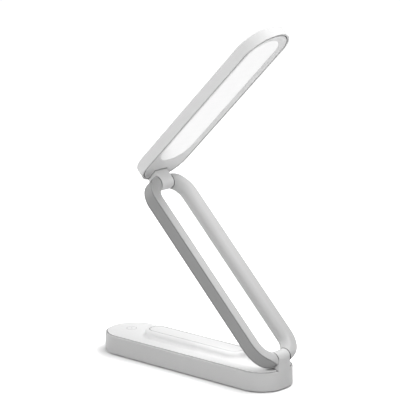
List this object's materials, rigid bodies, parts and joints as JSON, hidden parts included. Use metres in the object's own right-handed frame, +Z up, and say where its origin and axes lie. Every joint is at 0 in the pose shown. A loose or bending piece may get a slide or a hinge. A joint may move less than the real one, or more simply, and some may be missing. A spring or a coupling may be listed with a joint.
{
  "type": "folding led desk lamp",
  "caption": "Slim cordless desk lamp in three nesting bars: a base with a raised island, an open loop arm that turns on a knuckle, and a tilting light head with a long oval light field.",
  "frame": {"origin": "centre of the underside that the lamp stands on", "axes": "+X towards the base's hinge end, +Y across the base, +Z up; modelled open, arm at 45 degrees and head at 90 degrees to the arm"},
  "size_m": [0.23, 0.06, 0.355],
  "materials": {
    "body_grey": "satin moulded ABS, light grey",
    "body_white": "satin moulded ABS, white",
    "panel_white": "satin moulded ABS, white",
    "cover_grey": "fine texture",
    "mat_rubber": "matt silicone rubber",
    "screw_steel": "plain",
    "ballast_steel": "stamped",
    "cell_can": null,
    "holder_black": "plain",
    "board_green": "solder mask",
    "socket_steel": "bright",
    "light_pipe": "clear acrylic",
    "sensor_foil": "copper foil",
    "bush_white": "natural acetal",
    "clip_steel": "spring steel",
    "arm_white": "satin moulded ABS, white",
    "band_grey": "satin, silver grey",
    "lead_rubber": "soft jacket",
    "pin_steel": "ground",
    "surround_white": "satin moulded ABS, white",
    "diffuser_milky": "milky acrylic, lit",
    "tray_white": "reflective white",
    "led_board_white": "white solder mask on aluminium",
    "led_yellow": "phosphor"
  },
  "bodies": {
    "base": {"base_tub": "body_grey", "base_deck": "body_white", "island_panel": "panel_white", "bottom_cover": "cover_grey", "foot_mat": "mat_rubber", "base_screws": "screw_steel", "ballast_plate": "ballast_steel", "battery_cell": "cell_can", "battery_holder": "holder_black", "control_board": "board_green", "usb_c_socket": "socket_steel", "charge_light_pipe": "light_pipe", "touch_sensor": "sensor_foil", "hinge_a_bushes": "bush_white", "hinge_a_clips": "clip_steel"},
    "arm": {"arm_leg_near": "arm_white", "arm_leg_far": "arm_white", "arm_band_near": "band_grey", "arm_band_far": "band_grey", "arm_lead": "lead_rubber", "hinge_a_pin": "pin_steel", "hinge_b_pin": "pin_steel", "hinge_set_screws": "screw_steel"},
    "head": {"head_shell": "body_grey", "head_bezel": "surround_white", "diffuser": "diffuser_milky", "reflector_tray": "tray_white", "led_board": "led_board_white", "leds": "led_yellow", "head_screws": "screw_steel", "hinge_b_bushes": "bush_white", "hinge_b_clips": "clip_steel"}
  },
  "joints": [
    {"name": "arm_hinge", "type": "hinge", "parent": "base", "child": "arm", "pos_m": [0.1075, 0, 0.03056], "axis": [0, 1, 0], "range_deg": [-45, 55]},
    {"name": "head_hinge", "type": "hinge", "parent": "arm", "child": "head", "pos_m": [-0.04453, 0, 0.18259], "axis": [0, -1, 0], "range_deg": [-90, 15]}
  ]
}
